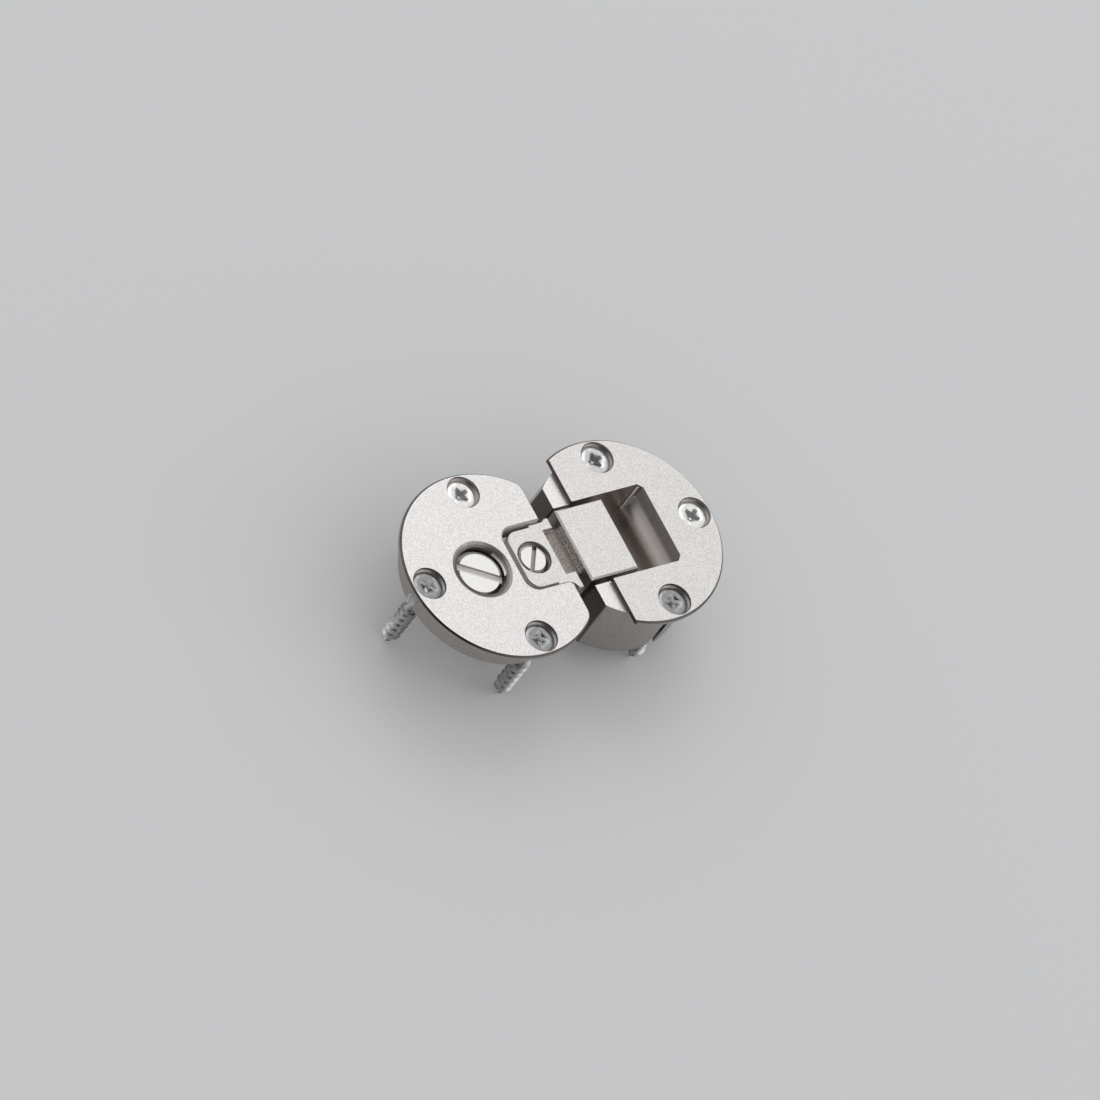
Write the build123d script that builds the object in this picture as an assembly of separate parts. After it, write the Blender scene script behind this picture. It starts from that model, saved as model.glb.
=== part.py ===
from build123d import *
import math
import os

# Flap hinge: two round zinc castings for 35 mm bores, with an adjustable arm between them.
# It is open flat. The origin is the centre of the cabinet half, under its flange.
# X runs from the cabinet half to the flap half, Y along the hinge axis, Z up out of the flanges.

# Flanges and the bodies under them
flange_diameter = 39.5
flange_thickness = 1.0
rim_chamfer = 0.35
body_diameter = 34.8
body_wall = 1.5
centre_distance = 29.7

# Cabinet plate: a straight side next to the flap, and a thick deck over the guide channel
plate_cut = 13.4
plate_corner = 3.1
deck_depth = 1.6
recess_start = 3.7
recess_width = 13.4
recess_corner = 2.6
recess_lip = 0.3
lip_overcut = 0.05
mouth_wide_corner = 2.0
mouth_small_corner = 0.5
channel_start = -10.3
seat_end_ledge = 2.3
rail_wall = 1.2
base_plate_thickness = 1.2
base_plate_corner = 1.5
peg_diameter = 1.8
peg_land = 0.6
peg_head_diameter = 2.6
peg_head_height = 0.6
peg_left = -8.6
peg_right = 9.4

# Arm: tongue in the channel, plate in the recess, neck, and the block on the pivot
arm_travel = 1.0
arm_sink = 0.9
arm_edge = 15.7
tongue_thickness = 2.5
tongue_start = -9.0
tongue_width = 12.3
guide_pad_length = 2.0
shoulder_start = 10.8
arm_edge_chamfer = 0.15
flare_reach = 8.2
step_reach = 7.05
step_start = 14.2
step_end = 14.9
neck_width = 9.7
neck_floor_depth = 1.2
notch_length = 2.4
neck_foot_depth = 7.0
block_width = 15.4
block_chamfer = 0.35
pivot_x = 22.8
pivot_depth = 6.5
knuckle_radius = 5.48
hub_diameter = 6.8

# Adjuster: a slotted head with an eccentric that shifts the tongue
adjuster_x = -3.65
adjuster_hole_diameter = 10.1
adjuster_bevel_width = 1.05
adjuster_bevel_depth = 0.6
adjuster_head_sink = 1.45
adjuster_edge_width = 0.75
adjuster_edge_drop = 0.45
adjuster_slot_width = 1.5
adjuster_slot_depth = 0.8
adjuster_slot_angle = -33.0
eccentric_offset = 1.2
eccentric_diameter = 4.8
journal_diameter = 3.2
journal_tail = 1.1
journal_chamfer = 0.3
ring_diameter = 6.2
ring_thickness = 0.6
ring_chamfer = 0.2

# Clamp screw through the arm into a stepped nut under the base plate
clamp_x = 8.75
clamp_thread_diameter = 3.5
clamp_head_diameter = 6.2
clamp_edge_width = 0.6
clamp_edge_drop = 0.3
clamp_head_sink = 0.5
clamp_slot_width = 0.9
clamp_slot_depth = 0.8
clamp_slot_angle = 56.0
clamp_tail = 0.6
clamp_tail_chamfer = 0.4
nut_size = 7.0
nut_thickness = 2.4
nut_corner = 0.6
nut_step_width = 4.6

# Flap cup: a pocket with a concave end, two ears and a cored underside
flap_cut = 7.95
ear_reach = 11.7
pocket_width = 17.0
pocket_end = 8.3
pocket_end_radius = 8.5
pocket_corner = 1.0
pocket_wall = 1.3
cup_floor = 0.8
cup_deck_depth = 1.2
pin_boss_width = 7.8
pin_boss_depth = 3.7
rib_width = 1.3
rib_angle = 45.0
access_hole_diameter = 4.6

# Hinge pin
pin_diameter = 4.0
pin_end_gap = 0.2
pin_chamfer = 0.4

# Wood screws of one length, whose thread starts below the casting
screw_inset = 3.85
cabinet_screw_angle = 87.0
flap_screw_angle = 82.0
cabinet_screw_turns = (20.0, 65.0, 40.0)
flap_screw_turns = (10.0, 70.0, 35.0)
screw_diameter = 3.5
screw_neck_diameter = 2.6
screw_length = 20.0
screw_head_diameter = 5.9
screw_head_edge = 0.1
screw_head_rim = 0.15
screw_head_sink = 0.8
screw_thread_drop = 0.5
screw_tip_length = 3.0
screw_tip_diameter = 0.5
screw_boss_diameter = 7.4
screw_hole_diameter = 3.8
cross_width = 0.85
cross_span = 3.4
cross_depth = 1.5
cross_root_span = 1.2
cross_root_width = 0.6
cross_overcut = 0.01

# Clearances
slide_gap = 0.1
side_gap = 0.15
eccentric_gap = 0.12
adjuster_gap = 0.2
clamp_rim_gap = 0.35
countersink_gap = 0.4
seat_gap = 0.05
knuckle_gap = 0.34
hub_gap = 0.15
running_gap = 0.05
press_gap = 0.01
cut_margin = 1.0

# Heights and places that follow from the sizes above
flange_radius = flange_diameter / 2
body_radius = body_diameter / 2
top = flange_thickness
deck_low = -deck_depth
arm_top = top - arm_sink
tongue_top = deck_low - slide_gap
tongue_low = tongue_top - tongue_thickness
base_seat_width = recess_width + 2 * (peg_diameter + 2 * peg_land)
seat_left = channel_start - seat_end_ledge
base_top = tongue_low - slide_gap
base_low = base_top - base_plate_thickness
neck_floor = -neck_floor_depth
pivot_z = -pivot_depth
block_left = pivot_x - knuckle_radius
block_right = pivot_x + knuckle_radius
pocket_floor = pivot_z - knuckle_radius - knuckle_gap
cup_low = pocket_floor - cup_floor
flap_x = centre_distance
ear_end = flap_x - ear_reach
pocket_far = flap_x + pocket_end
boss_outer = pocket_width / 2 + pin_boss_depth
arm_start = recess_start + arm_travel + 2 * side_gap
guide_width = recess_width - 2 * side_gap
adjuster_head_diameter = adjuster_hole_diameter - 2 * adjuster_gap
clamp_rim_diameter = clamp_head_diameter + 2 * clamp_rim_gap
screw_radius = flange_radius - screw_inset
head_top = top - screw_head_sink
countersink_diameter = screw_head_diameter + 2 * countersink_gap
countersink_low = head_top - screw_head_rim - seat_gap + countersink_gap


def cut_disc(radius, cut, corner=0.0):
    """Face of a disc with a straight side at x = cut; its centre stays in the face."""
    side = math.copysign(1.0, cut)
    face = Circle(radius) - Pos(cut + side * radius, 0) * Rectangle(2 * radius, 4 * radius)
    if corner > 0:
        ends = [v for v in face.vertices() if abs(v.X - cut) < 1e-4]
        face = fillet(ends, corner)
    return face


def slab(face, low, high):
    """A flat face in plan, made solid between two heights."""
    return Pos(0, 0, low) * extrude(face, amount=high - low)


def box_between(x_low, x_high, y_low, y_high, z_low, z_high):
    """A box given by its limits."""
    centre = Pos((x_low + x_high) / 2, (y_low + y_high) / 2, (z_low + z_high) / 2)
    return centre * Box(x_high - x_low, y_high - y_low, z_high - z_low)


def drum(x, y, radius, low, high):
    """An upright cylinder between two heights."""
    return Pos(x, y, (low + high) / 2) * Cylinder(radius, high - low)


def cross_bar(x, z, radius, y_low, y_high):
    """A cylinder along Y between two planes."""
    return Pos(x, (y_low + y_high) / 2, z) * Rot(90, 0, 0) * Cylinder(radius, y_high - y_low)


def turned(points):
    """A solid of revolution about Z from a profile of (radius, height) points."""
    return revolve(Plane.XZ * make_face(Polyline(*points, close=True)), Axis.Z)


def side_profile(outline, width):
    """A closed outline in X and Z, made solid across the full width along Y."""
    return extrude(Plane.XZ * make_face(outline), amount=width / 2, both=True)


def screw_places(angle, last_angle):
    """The three screw places round a flange centre."""
    angles = [math.radians(a) for a in (angle, -angle, last_angle)]
    return [(screw_radius * math.cos(a), screw_radius * math.sin(a)) for a in angles]


cabinet_places = screw_places(cabinet_screw_angle, 180.0)
flap_places = [(flap_x + x, y) for x, y in screw_places(flap_screw_angle, 0.0)]


def flange(centre, cut, corner):
    """A round flange plate: a chamfered upper rim, and a straight side with a plain edge."""
    plate = slab(cut_disc(flange_radius, cut, corner), 0, top)
    rim = plate.faces().sort_by(Axis.Z)[-1].edges().filter_by(GeomType.CIRCLE)
    return Pos(centre, 0, 0) * chamfer(rim, rim_chamfer)


def screw_hole(x, y, low):
    """The countersunk way of a wood screw, down to a height."""
    rim = countersink_diameter / 2
    hole = screw_hole_diameter / 2
    points = [
        (0, top + cut_margin),
        (rim, top + cut_margin),
        (rim, countersink_low),
        (hole, countersink_low - (rim - hole)),
        (hole, low - cut_margin),
        (0, low - cut_margin),
    ]
    return Pos(x, y, 0) * turned(points)


def recess_face():
    """Plan of the arm's recess, with round inner corners."""
    right = plate_cut + cut_margin
    face = Pos((recess_start + right) / 2, 0) * Rectangle(right - recess_start, recess_width)
    return fillet([v for v in face.vertices() if v.X < recess_start + recess_corner], recess_corner)


def recess_cutter():
    """The way of the arm through the deck: a lip all round, one wide and one small mouth corner."""
    half = recess_width / 2
    face = recess_face()
    for side, corner in ((1, mouth_small_corner), (-1, mouth_wide_corner)):
        middle = Pos(plate_cut - corner / 2 + cut_margin / 2, side * (half + corner / 2))
        mouth = middle * Rectangle(corner + cut_margin, corner)
        mouth -= Pos(plate_cut - corner, side * (half + corner)) * Circle(corner)
        face += mouth
    lip = Pos(0, 0, top - recess_lip) * extrude(recess_face(), amount=recess_lip + lip_overcut, taper=-45)
    return slab(face, base_top - cut_margin, top + cut_margin) + lip


def make_cabinet_plate():
    """Casting with the cabinet flange, the deck, the guide channel and the seat of the base plate."""
    casting = flange(0, plate_cut, plate_corner)
    casting += slab(cut_disc(body_radius, plate_cut), base_low, 0)
    rail_half = base_seat_width / 2 + rail_wall
    rail_left = seat_left - rail_wall
    core = cut_disc(body_radius - body_wall, plate_cut - body_wall)
    core -= Pos((rail_left + plate_cut) / 2, 0) * Rectangle(plate_cut - rail_left, 2 * rail_half)
    for x, y in cabinet_places:
        core -= Pos(x, y) * Circle(screw_boss_diameter / 2)
    casting -= slab(core, base_low - cut_margin, deck_low)
    seat_half = base_seat_width / 2
    channel_half = recess_width / 2
    end = plate_cut + cut_margin
    casting -= box_between(seat_left, end, -seat_half, seat_half, base_low - cut_margin, base_top)
    casting -= box_between(channel_start, end, -channel_half, channel_half, base_top - cut_margin, deck_low)
    casting -= recess_cutter()
    bore = adjuster_hole_diameter / 2
    bevel = bore + adjuster_bevel_width
    way = [
        (0, top + cut_margin),
        (bevel, top + cut_margin),
        (bevel, top),
        (bore, top - adjuster_bevel_depth),
        (bore, deck_low - cut_margin),
        (0, deck_low - cut_margin),
    ]
    casting -= Pos(adjuster_x, 0, 0) * turned(way)
    for x, y in cabinet_places:
        casting -= screw_hole(x, y, base_low)
    for x, y in peg_places():
        casting += drum(x, y, peg_diameter / 2, base_low - peg_head_height / 2, base_top + seat_gap)
        head = drum(x, y, peg_head_diameter / 2, base_low - peg_head_height, base_low)
        casting += chamfer(head.edges().group_by(Axis.Z)[0], peg_head_height / 2)
    return casting


def peg_places():
    """The four staked pegs on the ledges beside the channel."""
    y = (recess_width + base_seat_width) / 4
    return [(x, side * y) for x in (peg_left, peg_right) for side in (1, -1)]


def make_base_plate():
    """Pressed steel plate that closes the channel from below."""
    left = seat_left + side_gap
    right = plate_cut - side_gap
    width = base_seat_width - 2 * side_gap
    face = Pos((left + right) / 2, 0) * RectangleRounded(right - left, width, base_plate_corner)
    for x, y in peg_places():
        face -= Pos(x, y) * Circle(peg_diameter / 2 + seat_gap)
    face -= Pos(adjuster_x, 0) * Circle(journal_diameter / 2 + running_gap)
    slot_length = nut_step_width + 2 * (arm_travel + side_gap)
    face -= Pos(clamp_x, 0) * Rectangle(slot_length, nut_step_width + 2 * slide_gap)
    return slab(face, base_low, base_top)


def make_adjuster():
    """Slotted head, eccentric and journal in one turned piece."""
    head_radius = adjuster_head_diameter / 2
    head_high = top - adjuster_head_sink
    head_low = tongue_top + slide_gap / 2
    outline = [
        (0, head_high),
        (head_radius - adjuster_edge_width, head_high),
        (head_radius, head_high - adjuster_edge_drop),
        (head_radius, head_low),
        (0, head_low),
    ]
    slot = Box(2 * adjuster_head_diameter, adjuster_slot_width, 2 * adjuster_slot_depth)
    head = turned(outline) - Pos(0, 0, head_high) * Rot(0, 0, adjuster_slot_angle) * slot
    body_low = base_top + slide_gap / 2
    eccentric = drum(0, -eccentric_offset, eccentric_diameter / 2, body_low, head_low)
    tail_low = base_low - journal_tail
    journal = drum(0, 0, journal_diameter / 2, tail_low, body_low)
    journal = chamfer(journal.edges().group_by(Axis.Z)[0], journal_chamfer)
    return Pos(adjuster_x, 0, 0) * (head + eccentric + journal)


def make_adjuster_ring():
    """Push-on ring that keeps the adjuster in the base plate."""
    high = base_low - seat_gap
    ring = drum(0, 0, ring_diameter / 2, high - ring_thickness, high)
    ring = chamfer(ring.edges().group_by(Axis.Z)[0], ring_chamfer)
    bore = journal_diameter / 2 + press_gap
    ring -= drum(0, 0, bore, high - ring_thickness - cut_margin, high + cut_margin)
    return Pos(adjuster_x, 0, 0) * ring


def arm_plan():
    """Plan of the tongue with its guide pads, and of the arm plate with a flare on one side."""
    tongue = tongue_width / 2
    guide = guide_width / 2
    pad_end = tongue_start + guide_pad_length
    flare_start = plate_cut + arm_travel + side_gap - mouth_wide_corner
    rise = flare_reach - guide
    sweep = math.acos((mouth_wide_corner - rise) / mouth_wide_corner)
    curve = []
    for turn in (sweep / 2, sweep):
        x = flare_start + mouth_wide_corner * math.sin(turn)
        curve.append((x, -guide - mouth_wide_corner * (1 - math.cos(turn))))
    flare = ThreePointArc((flare_start, -guide), *curve)
    outline = Polyline(
        curve[-1],
        (arm_edge, -flare_reach),
        (arm_edge, step_reach),
        (step_end, step_reach),
        (step_start, guide),
        (shoulder_start, guide),
        (shoulder_start, tongue),
        (pad_end, tongue),
        (pad_end, guide),
        (tongue_start, guide),
        (tongue_start, -guide),
        (pad_end, -guide),
        (pad_end, -tongue),
        (shoulder_start, -tongue),
        (shoulder_start, -guide),
        (flare_start, -guide),
    )
    return make_face(outline + flare)


def make_arm():
    """Casting with the tongue, the arm plate, the neck and the block that turns on the pin."""
    plan = arm_plan()
    arm = slab(plan, tongue_low, tongue_top)
    upper = plan & Pos((arm_start + arm_edge) / 2, 0) * Rectangle(arm_edge - arm_start, 2 * flare_reach)
    inner = [v for v in upper.vertices() if v.X < arm_start + side_gap]
    upper = fillet(inner, recess_corner - side_gap)
    plate = slab(upper, tongue_top, arm_top)
    arm += chamfer(plate.faces().sort_by(Axis.Z)[-1].edges(), arm_edge_chamfer)
    notch_left = arm_edge - notch_length
    neck_half = neck_width / 2
    notch_right = arm_edge + cut_margin
    arm -= box_between(notch_left, notch_right, -neck_half, neck_half, neck_floor, arm_top + cut_margin)
    bend = plate_cut + arm_travel + 2 * side_gap
    neck_outline = Polyline(
        (notch_left - cut_margin, neck_floor),
        (pivot_x, neck_floor),
        (pivot_x, -neck_foot_depth),
        (block_left + 2 * side_gap, -neck_foot_depth),
        (bend, tongue_low),
        (notch_left - cut_margin, tongue_low),
        close=True,
    )
    arm += side_profile(neck_outline, neck_width)
    low_left = (block_left, pivot_z)
    low_right = (block_right, pivot_z)
    block_outline = Polyline(low_left, (block_left, top), (block_right, top), low_right)
    block_outline += ThreePointArc(low_right, (pivot_x, pivot_z - knuckle_radius), low_left)
    block = side_profile(block_outline, block_width)
    block = chamfer(block.faces().sort_by(Axis.Z)[-1].edges(), block_chamfer)
    arm += block
    hub_half = pocket_width / 2 - hub_gap
    arm += cross_bar(pivot_x, pivot_z, hub_diameter / 2, -hub_half, hub_half)
    bore_half = hub_half + cut_margin
    arm -= cross_bar(pivot_x, pivot_z, pin_diameter / 2 + running_gap, -bore_half, bore_half)
    swing = eccentric_offset * (1 - math.cos(math.asin(arm_travel / eccentric_offset)))
    slot_radius = eccentric_diameter / 2 + eccentric_gap
    slot_middle = -eccentric_offset + swing / 2
    slot = Pos(adjuster_x, slot_middle) * Rot(0, 0, 90) * SlotCenterToCenter(swing, 2 * slot_radius)
    arm -= slab(slot, tongue_low - cut_margin, tongue_top + cut_margin)
    rim = clamp_rim_diameter / 2
    hole = clamp_thread_diameter / 2 + side_gap
    cone_top = arm_top - clamp_head_sink - slide_gap
    way = [
        (0, arm_top + cut_margin),
        (rim, arm_top + cut_margin),
        (rim, cone_top),
        (hole, cone_top - (rim - hole)),
        (hole, tongue_low - cut_margin),
        (0, tongue_low - cut_margin),
    ]
    arm -= Pos(clamp_x, 0, 0) * turned(way)
    return arm


def make_clamp_screw():
    """Slotted countersunk screw that clamps the arm to the base plate."""
    head = clamp_head_diameter / 2
    shank = clamp_thread_diameter / 2
    high = arm_top - clamp_head_sink
    rim_low = high - slide_gap - (clamp_rim_diameter / 2 - head)
    tail = base_low - slide_gap - nut_thickness - clamp_tail
    points = [
        (0, high),
        (head - clamp_edge_width, high),
        (head, high - clamp_edge_drop),
        (head, rim_low),
        (shank, rim_low - (head - shank)),
        (shank, tail + clamp_tail_chamfer),
        (shank - clamp_tail_chamfer, tail),
        (0, tail),
    ]
    slot = Box(2 * clamp_head_diameter, clamp_slot_width, 2 * clamp_slot_depth)
    screw = turned(points) - Pos(0, 0, high) * Rot(0, 0, clamp_slot_angle) * slot
    return Pos(clamp_x, 0, 0) * screw


def make_clamp_nut():
    """Square nut with a step that slides in the base plate's slot."""
    high = base_low - slide_gap
    low = high - nut_thickness
    step_high = base_top - 2 * slide_gap
    half = nut_size / 2
    step = nut_step_width / 2
    nut = box_between(-half, half, -half, half, low, high)
    nut = chamfer(nut.edges().filter_by(Axis.Z), nut_corner)
    nut += box_between(-step, step, -step, step, high, step_high)
    nut -= drum(0, 0, clamp_thread_diameter / 2 + running_gap, low - cut_margin, step_high + cut_margin)
    return Pos(clamp_x, 0, 0) * nut


def pocket_solid(wall):
    """The flap cup's pocket, grown by a wall: open towards the arm, concave at its far end."""
    far = pocket_far + wall
    floor = pocket_floor - (cup_floor if wall > 0 else 0)
    radius = pocket_end_radius + wall
    high = top + cut_margin
    near = ear_end - cut_margin
    outline = Polyline((near, floor), (near, high), (far, high), (far, floor + radius))
    bend = radius * math.sqrt(0.5)
    middle = (far - radius + bend, floor + radius - bend)
    outline += ThreePointArc((far, floor + radius), middle, (far - radius, floor))
    outline += Line((far - radius, floor), (near, floor))
    half = pocket_width / 2 + wall
    plan = Pos((near + far) / 2, 0) * Rectangle(far - near, 2 * half)
    plan = chamfer([v for v in plan.vertices() if v.X > far - 1e-4], pocket_corner)
    return side_profile(outline, 2 * half) & slab(plan, floor - cut_margin, high)


def make_flap_cup():
    """Casting with the flap flange, the ears, the pocket and a cored underside with bosses."""
    cup = flange(flap_x, -flap_cut, 0)
    body = Pos(flap_x, 0, 0) * slab(cut_disc(body_radius, -ear_reach), cup_low, 0)
    core = cut_disc(body_radius - body_wall, -ear_reach + body_wall)
    core = Pos(flap_x, 0) * core
    for x, y in flap_places:
        core -= Pos(x, y) * Circle(screw_boss_diameter / 2)
    for side in (1, -1):
        middle = side * (pocket_width / 2 + boss_outer) / 2
        core -= Pos(pivot_x, middle) * Rectangle(pin_boss_width, boss_outer - pocket_width / 2)
        rib_y = side * (pocket_width + body_diameter) / 4
        core -= Pos(flap_x, rib_y) * Rectangle(rib_width, (body_diameter - pocket_width) / 2)
        slanted = Pos(body_radius / 2, 0) * Rectangle(body_radius, rib_width)
        core -= Pos(flap_x, 0) * Rot(0, 0, side * rib_angle) * slanted
    hollow = slab(core, cup_low - cut_margin, -cup_deck_depth)
    hollow -= pocket_solid(pocket_wall)
    cup += body - hollow
    cup -= pocket_solid(0.0)
    bore_half = boss_outer + cut_margin
    cup -= cross_bar(pivot_x, pivot_z, pin_diameter / 2 + press_gap, -bore_half, bore_half)
    cup -= cross_bar(pivot_x, pivot_z, access_hole_diameter / 2, boss_outer, body_radius)
    for x, y in flap_places:
        cup -= screw_hole(x, y, cup_low)
    return cup


def make_hinge_pin():
    """Steel pin through the ears' bosses and the block."""
    half = boss_outer - pin_end_gap
    pin = cross_bar(pivot_x, pivot_z, pin_diameter / 2, -half, half)
    ends = pin.edges().group_by(Axis.Y)
    return chamfer(ends[0] + ends[-1], pin_chamfer)


def make_wood_screw(x, y, turn, casting_low):
    """Countersunk wood screw with a cross recess, and its thread as a plain cylinder."""
    head = screw_head_diameter / 2
    neck = screw_neck_diameter / 2
    crest = screw_diameter / 2
    rim_low = head_top - screw_head_rim
    thread_high = casting_low - screw_thread_drop
    tip = head_top - screw_length
    points = [
        (0, head_top),
        (head - screw_head_edge, head_top),
        (head, head_top - screw_head_edge),
        (head, rim_low),
        (neck, rim_low - (head - neck)),
        (neck, thread_high + (crest - neck)),
        (crest, thread_high),
        (crest, tip + screw_tip_length),
        (screw_tip_diameter / 2, tip),
        (0, tip),
    ]
    screw = turned(points)
    for angle in (0, 90):
        wing = Plane.XY.offset(head_top + cross_overcut) * Rectangle(cross_span, cross_width)
        root = Plane.XY.offset(head_top - cross_depth) * Rectangle(cross_root_span, cross_root_width)
        screw -= Rot(0, 0, turn + angle) * loft([wing, root])
    return Pos(x, y, 0) * screw


os.makedirs("parts", exist_ok=True)

nodes = {
    "cabinet_plate": make_cabinet_plate(),
    "base_plate": make_base_plate(),
    "eccentric_adjuster": make_adjuster(),
    "adjuster_ring": make_adjuster_ring(),
    "hinge_arm": make_arm(),
    "clamp_screw": make_clamp_screw(),
    "clamp_nut": make_clamp_nut(),
    "flap_cup": make_flap_cup(),
    "hinge_pin": make_hinge_pin(),
}
halves = (
    ("cabinet", cabinet_places, cabinet_screw_turns, base_low),
    ("flap", flap_places, flap_screw_turns, cup_low),
)
for half_name, places, turns, casting_low in halves:
    for number, (x, y) in enumerate(places):
        screw_name = f"{half_name}_screw_{number + 1}"
        nodes[screw_name] = make_wood_screw(x, y, turns[number], casting_low)

for name, solid in nodes.items():
    export_step(solid, f"parts/{name}.step")
    print(name, round(solid.volume, 2))
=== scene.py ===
"""Dresses the flap hinge.

Plated castings, turned screws with real threads, and a plain pale studio.
"""

import logging
import math
from abc import ABC, abstractmethod
from dataclasses import dataclass, field
from enum import Enum

import bmesh
import bpy
from mathutils import Matrix, Vector


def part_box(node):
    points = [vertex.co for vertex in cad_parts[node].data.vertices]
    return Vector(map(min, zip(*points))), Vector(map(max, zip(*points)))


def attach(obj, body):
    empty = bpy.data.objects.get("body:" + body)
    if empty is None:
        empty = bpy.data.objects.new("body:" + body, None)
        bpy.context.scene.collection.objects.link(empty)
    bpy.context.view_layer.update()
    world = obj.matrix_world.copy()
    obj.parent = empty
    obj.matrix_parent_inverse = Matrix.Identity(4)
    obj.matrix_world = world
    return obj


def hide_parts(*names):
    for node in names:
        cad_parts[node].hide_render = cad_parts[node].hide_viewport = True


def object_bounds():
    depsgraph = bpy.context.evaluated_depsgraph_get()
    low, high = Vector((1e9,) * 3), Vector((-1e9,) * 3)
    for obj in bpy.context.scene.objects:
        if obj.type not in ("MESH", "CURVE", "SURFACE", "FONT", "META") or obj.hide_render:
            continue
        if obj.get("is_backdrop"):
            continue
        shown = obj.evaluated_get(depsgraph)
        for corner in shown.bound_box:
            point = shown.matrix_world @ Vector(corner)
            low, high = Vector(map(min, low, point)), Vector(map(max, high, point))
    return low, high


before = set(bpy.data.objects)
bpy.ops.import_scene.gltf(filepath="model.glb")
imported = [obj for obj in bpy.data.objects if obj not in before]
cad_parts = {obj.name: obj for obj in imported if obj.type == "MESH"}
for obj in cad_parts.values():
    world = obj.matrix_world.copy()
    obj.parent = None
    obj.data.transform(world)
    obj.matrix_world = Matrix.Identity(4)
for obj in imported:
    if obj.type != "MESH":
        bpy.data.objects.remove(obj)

MM = 0.001
EDGE_SAMPLES = 6
SHARP_ANGLE = math.radians(35.0)
LOG = logging.getLogger("flap_hinge")

Socket = bpy.types.NodeSocket
Colour = tuple[float, float, float]
Triple = tuple[float, float, float]


def mm(x: float, y: float, z: float) -> Triple:
    """Turns three sizes in millimetres into metres."""
    return x * MM, y * MM, z * MM


class Kind(Enum):
    """The shader nodes that the finishes use, by their Blender names."""

    BACKGROUND = "ShaderNodeBackground"
    BEVEL = "ShaderNodeBevel"
    BUMP = "ShaderNodeBump"
    COMBINE = "ShaderNodeCombineXYZ"
    COMBINE_COLOUR = "ShaderNodeCombineColor"
    COORDINATES = "ShaderNodeTexCoord"
    DIFFUSE = "ShaderNodeBsdfDiffuse"
    GEOMETRY = "ShaderNodeNewGeometry"
    LIGHT_PATH = "ShaderNodeLightPath"
    MAP_RANGE = "ShaderNodeMapRange"
    MAPPING = "ShaderNodeMapping"
    MATH = "ShaderNodeMath"
    MIX = "ShaderNodeMix"
    MIX_SHADER = "ShaderNodeMixShader"
    NOISE = "ShaderNodeTexNoise"
    OUTPUT_MATERIAL = "ShaderNodeOutputMaterial"
    OUTPUT_WORLD = "ShaderNodeOutputWorld"
    PRINCIPLED = "ShaderNodeBsdfPrincipled"
    SEPARATE = "ShaderNodeSeparateXYZ"
    TRANSFORM = "ShaderNodeVectorTransform"
    TRANSPARENT = "ShaderNodeBsdfTransparent"
    VECTOR_MATH = "ShaderNodeVectorMath"


@dataclass(frozen=True)
class Ramp:
    """A smooth rise from start to end while a value goes from low to high."""

    low: float
    high: float
    start: float = 0.0
    end: float = 1.0


@dataclass(frozen=True)
class Spots:
    """A noise whose spots have a real size in metres."""

    size: float
    detail: float
    roughness: float = 0.55


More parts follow.
